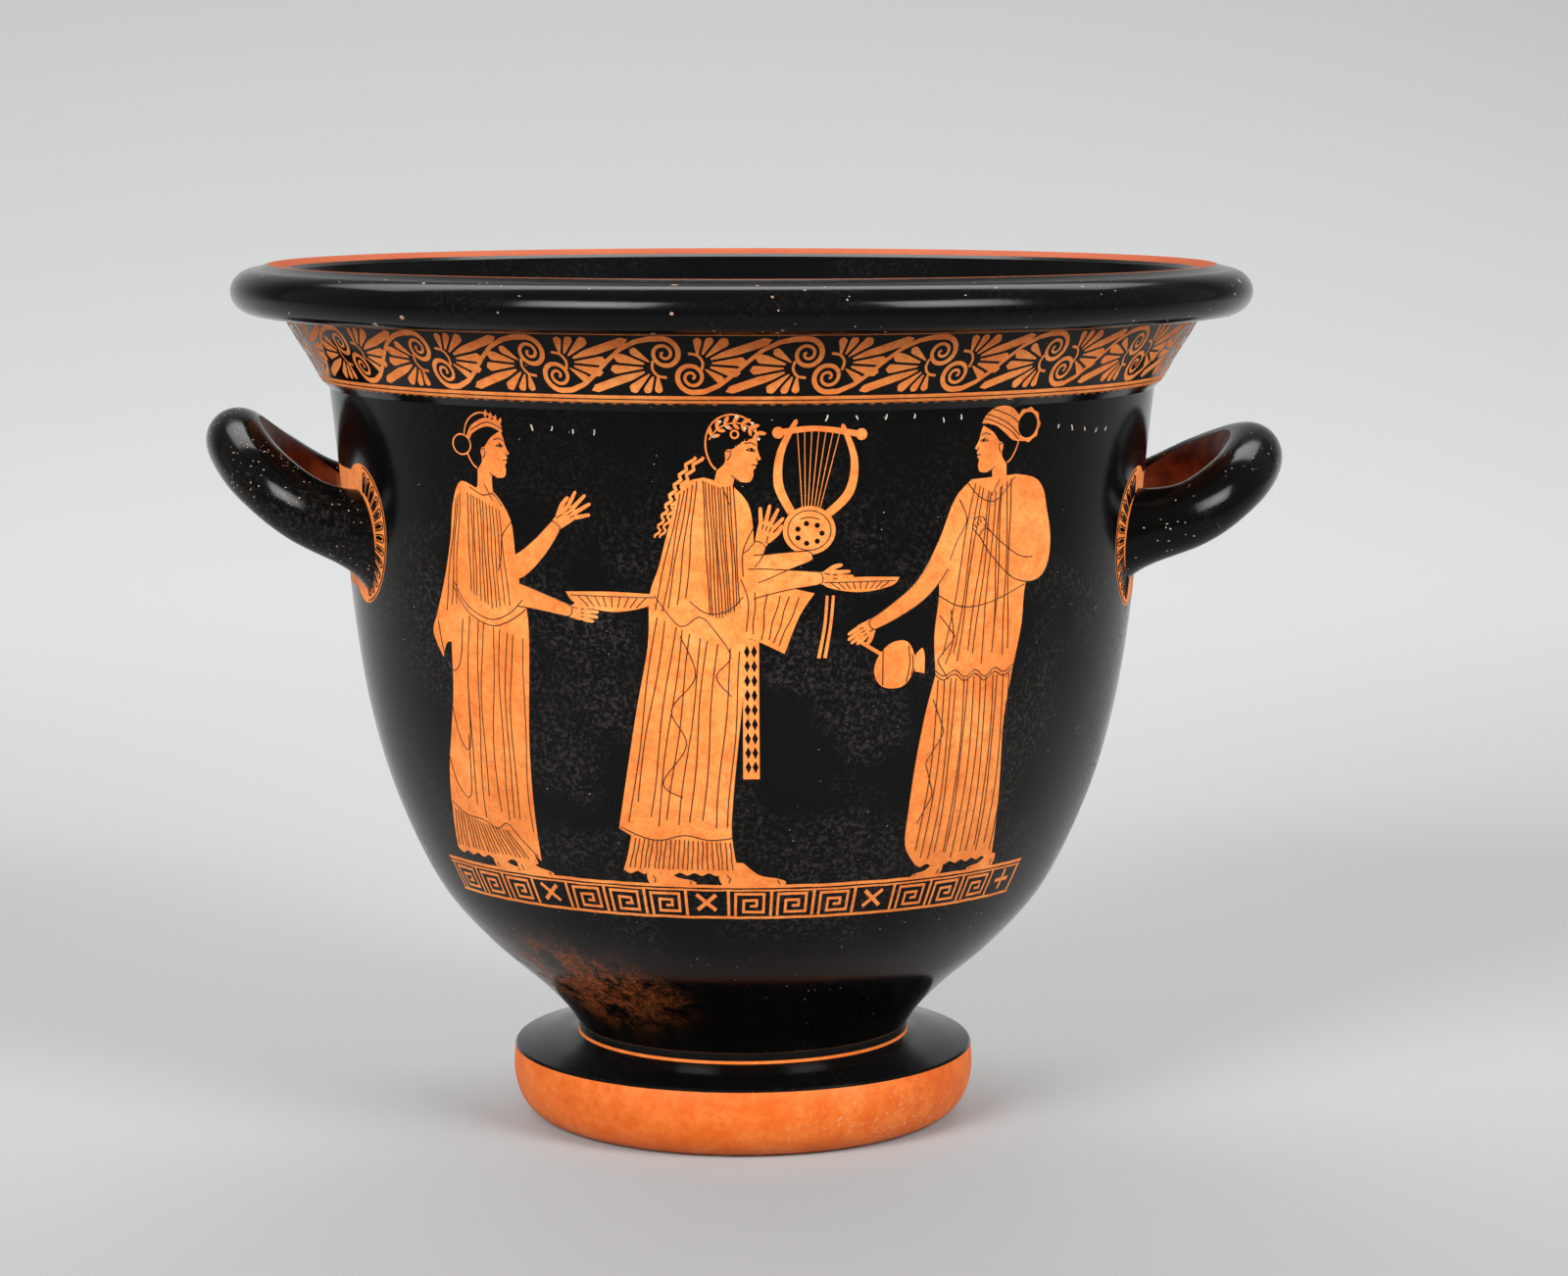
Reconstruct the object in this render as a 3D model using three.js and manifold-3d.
// A wide-mouthed mixing bowl of fired clay: a bell-shaped krater on a disc foot, with two loop handles.
// Millimetres, +Z up. The origin is the centre of the underside, the handles lie along X, the front is -Y.
import * as THREE from 'three';
import { mergeVertices } from 'three/addons/utils/BufferGeometryUtils.js';
import Module from 'manifold-3d';

const HEIGHT = 370;          // top edge of the rim
const RIM_RADIUS = 201.5;    // the rim's highest ring
const RIM_INNER_EDGE = 7.5;  // the rim's inner bevel, measured in from the highest ring
const RIM_INNER_DROP = 3.8;  // and down from it
const WALL = 8.5;            // thickness of the thrown wall
const FLOOR = 62;            // height of the bowl's floor at its centre
const TURN_STEPS = 64;       // facets around the wheel's axis

// The lip is an overhanging roll with an elliptical section.
const LIP = { radius: 206.5, height: 358.5, halfWidth: 11.1, halfHeight: 9.6, steps: 8 };

// The neck flares from a small moulding up to the lip's underside.
const MOULDING = { bottom: 319.5, top: 324.2, radius: 179.6, topRadius: 181.8 };
const NECK_TOP = { radius: 196, height: 349 };

// The foot is a disc with a convex edge, hollow below, standing on a flat ring.
const FOOT = { radius: 100.3, height: 31.1, ringOuter: 86, ringInner: 73, hollowTop: 46, hollowRadius: 52 };
const STEM = { radius: 71.8, height: 36 };

// Each handle is a round rod bent into a loop that rises outward, with trumpet-shaped roots on the wall.
const ROD_RADIUS = 13.3;
const HANDLE = {
  rootAngle: THREE.MathUtils.degToRad(18.5), // from the handle's middle line to the centre of a root
  rootDepth: 158,                            // distance from the bowl's axis to a root's untrimmed end
  rootHeight: 257,
  leg: new THREE.Vector3(184, 55, 267),      // middle of a leg
  shoulder: new THREE.Vector3(205.5, 41, 280.5),
  crown: new THREE.Vector3(218.2, 0, 291.3), // furthest point of the loop
  flareUp: 19,                               // how much a root widens, up and down
  flareSide: 15,                             // and to the sides
  flareLength: 12,
  sides: 14,
  steps: 26,
};
// The loops were bent by hand: the left one stands a little higher, the right one reaches further out.
const LEFT_BEND = { lift: 4, reach: -2.4 };
const RIGHT_BEND = { lift: -4.6, reach: 2.8 };

const point = (radius, height) => new THREE.Vector2(radius, height);

// Outside of the bowl from the stem to the moulding, a swelling bell.
const bellCurve = new THREE.SplineCurve([
  point(STEM.radius, STEM.height + 4),
  point(77.6, 48.8),
  point(90, 61.5),
  point(111, 80),
  point(131.7, 104.7),
  point(149.3, 142),
  point(160, 178.5),
  point(167, 221),
  point(172.9, 284),
  point(176.4, MOULDING.bottom - 1.5),
]);

// Outside of the neck, from the moulding to the underside of the lip.
const neckCurve = new THREE.CubicBezierCurve(
  point(MOULDING.topRadius, MOULDING.top),
  point(184.6, 331),
  point(190.5, 338),
  point(NECK_TOP.radius, NECK_TOP.height),
);

// A point on the inner wall: the outer point moved in by the wall's thickness, square to the surface.
function insideOf(curve, along) {
  const outer = curve.getPointAt(along);
  const direction = curve.getTangentAt(along);
  return point(outer.x - direction.y * WALL, outer.y + direction.x * WALL);
}

function footProfile() {
  const hollow = new THREE.CubicBezierCurve(
    point(0, FOOT.hollowTop),
    point(FOOT.hollowRadius, FOOT.hollowTop - 3),
    point(FOOT.ringInner - 8, 18),
    point(FOOT.ringInner, 0),
  );
  const edge = new THREE.CubicBezierCurve(
    point(FOOT.ringOuter, 0),
    point(96, 2),
    point(FOOT.radius, 12),
    point(FOOT.radius, 22),
  );
  return [
    ...hollow.getPoints(5),
    ...edge.getPoints(5),
    point(FOOT.radius - 0.8, FOOT.height),
    point(STEM.radius + 1.2, STEM.height - 1),
    point(STEM.radius, STEM.height),
  ];
}

function lipProfile() {
  const roll = new THREE.EllipseCurve(
    LIP.radius, LIP.height, LIP.halfWidth, LIP.halfHeight, -Math.PI / 2, Math.PI / 2);
  return [
    ...roll.getPoints(LIP.steps),
    point(RIM_RADIUS, HEIGHT),
    point(RIM_RADIUS - RIM_INNER_EDGE, HEIGHT - RIM_INNER_DROP),
  ];
}

function innerProfile() {
  const neckStops = [0.7, 0.3];
  const bellStops = [0.99, 0.87, 0.74, 0.62, 0.5, 0.4, 0.3, 0.2, 0.1];
  const floor = new THREE.QuadraticBezierCurve(
    insideOf(bellCurve, bellStops[bellStops.length - 1]),
    point(50, FLOOR + 1),
    point(0, FLOOR),
  );
  return [
    ...neckStops.map((stop) => insideOf(neckCurve, stop)),
    ...bellStops.slice(0, -1).map((stop) => insideOf(bellCurve, stop)),
    ...floor.getPoints(3),
  ];
}

// The whole thrown pot: foot, bell, moulding, neck, lip and the inside, as one turned section.
function thrownPot() {
  const profile = [
    ...footProfile(),
    ...bellCurve.getPoints(16),
    point(MOULDING.radius, MOULDING.bottom + 1.5),
    ...neckCurve.getPoints(3),
    ...lipProfile(),
    ...innerProfile(),
  ];
  const pot = new THREE.LatheGeometry(profile, TURN_STEPS);
  pot.rotateX(Math.PI / 2);
  return pot;
}

// The middle line of a handle on the +X side, from one root over the crown to the other.
function handleLine({ lift, reach }) {
  const root = new THREE.Vector3(
    HANDLE.rootDepth * Math.cos(HANDLE.rootAngle),
    HANDLE.rootDepth * Math.sin(HANDLE.rootAngle),
    HANDLE.rootHeight,
  );
  const bend = (p, share) => p.clone().add(new THREE.Vector3(reach, 0, lift).multiplyScalar(share));
  const half = [root, bend(HANDLE.leg, 0.4), bend(HANDLE.shoulder, 0.65)];
  const crown = bend(HANDLE.crown, 1);
  const mirrored = half.map((p) => p.clone().setY(-p.y)).reverse();
  return new THREE.CatmullRomCurve3([...half, crown, ...mirrored], false, 'centripetal');
}

// A closed cylinder bent along the middle line; its section swells towards both roots.
function handleLoop(bend) {
  const line = handleLine(bend);
  const length = line.getLength();
  const rod = new THREE.CylinderGeometry(1, 1, 1, HANDLE.sides, HANDLE.steps);
  const vertices = rod.getAttribute('position');
  const up = new THREE.Vector3(0, 0, 1);
  for (let i = 0; i < vertices.count; i += 1) {
    const along = Math.min(Math.max(vertices.getY(i) + 0.5, 0), 1);
    const centre = line.getPointAt(along);
    const forward = line.getTangentAt(along);
    const side = new THREE.Vector3().crossVectors(forward, up).normalize();
    const rise = new THREE.Vector3().crossVectors(side, forward);
    const swell = Math.exp(-Math.min(along, 1 - along) * length / HANDLE.flareLength);
    centre.addScaledVector(rise, vertices.getZ(i) * (ROD_RADIUS + HANDLE.flareUp * swell));
    centre.addScaledVector(side, vertices.getX(i) * (ROD_RADIUS + HANDLE.flareSide * swell));
    vertices.setXYZ(i, centre.x, centre.y, centre.z);
  }
  return rod;
}

const wasm = await Module();
wasm.setup();

// A cone that follows the middle of the wall behind the roots: what lies inside it is trimmed off the rods.
function wallCore() {
  const span = 90;
  const [low, high] = [-1, 1].map((way) => {
    const height = HANDLE.rootHeight + way * span / 2;
    return wallRadiusAt(height) - WALL / 2;
  });
  const core = new THREE.CylinderGeometry(high, low, span, TURN_STEPS);
  return core.rotateX(Math.PI / 2).translate(0, 0, HANDLE.rootHeight);
}

// Outer radius of the bell at a height, between the points of its outline.
function wallRadiusAt(height) {
  const outline = bellCurve.getPoints(64);
  const above = outline.findIndex((p) => p.y >= height);
  const [a, b] = [outline[above - 1], outline[above]];
  return THREE.MathUtils.mapLinear(height, a.y, b.y, a.x, b.x);
}

function toSolid(geometry) {
  const bare = geometry.clone();
  bare.deleteAttribute('normal');
  bare.deleteAttribute('uv');
  const merged = mergeVertices(bare, 1e-3);
  return new wasm.Manifold(new wasm.Mesh({
    numProp: 3,
    vertProperties: merged.getAttribute('position').array,
    triVerts: new Uint32Array(merged.index.array),
  }));
}

function toGeometry(solid) {
  const mesh = solid.getMesh();
  const geometry = new THREE.BufferGeometry();
  geometry.setAttribute('position', new THREE.BufferAttribute(mesh.vertProperties, 3));
  geometry.setIndex(new THREE.BufferAttribute(mesh.triVerts, 1));
  return geometry;
}

// The handles were luted on before firing, so the pot is one piece of clay.
function firedPot() {
  const right = handleLoop(RIGHT_BEND);
  const left = handleLoop(LEFT_BEND).rotateZ(Math.PI);
  const handles = toSolid(right).add(toSolid(left)).subtract(toSolid(wallCore()));
  const solid = toSolid(thrownPot()).add(handles);
  const geometry = toGeometry(solid);
  geometry.computeVertexNormals();
  return geometry;
}

const blackGloss = new THREE.MeshStandardMaterial({ color: 0x16140f, roughness: 0.25, metalness: 0 });
const krater = new THREE.Mesh(firedPot(), blackGloss);
krater.name = 'krater';

const group = new THREE.Group();
group.add(krater);

export default group;
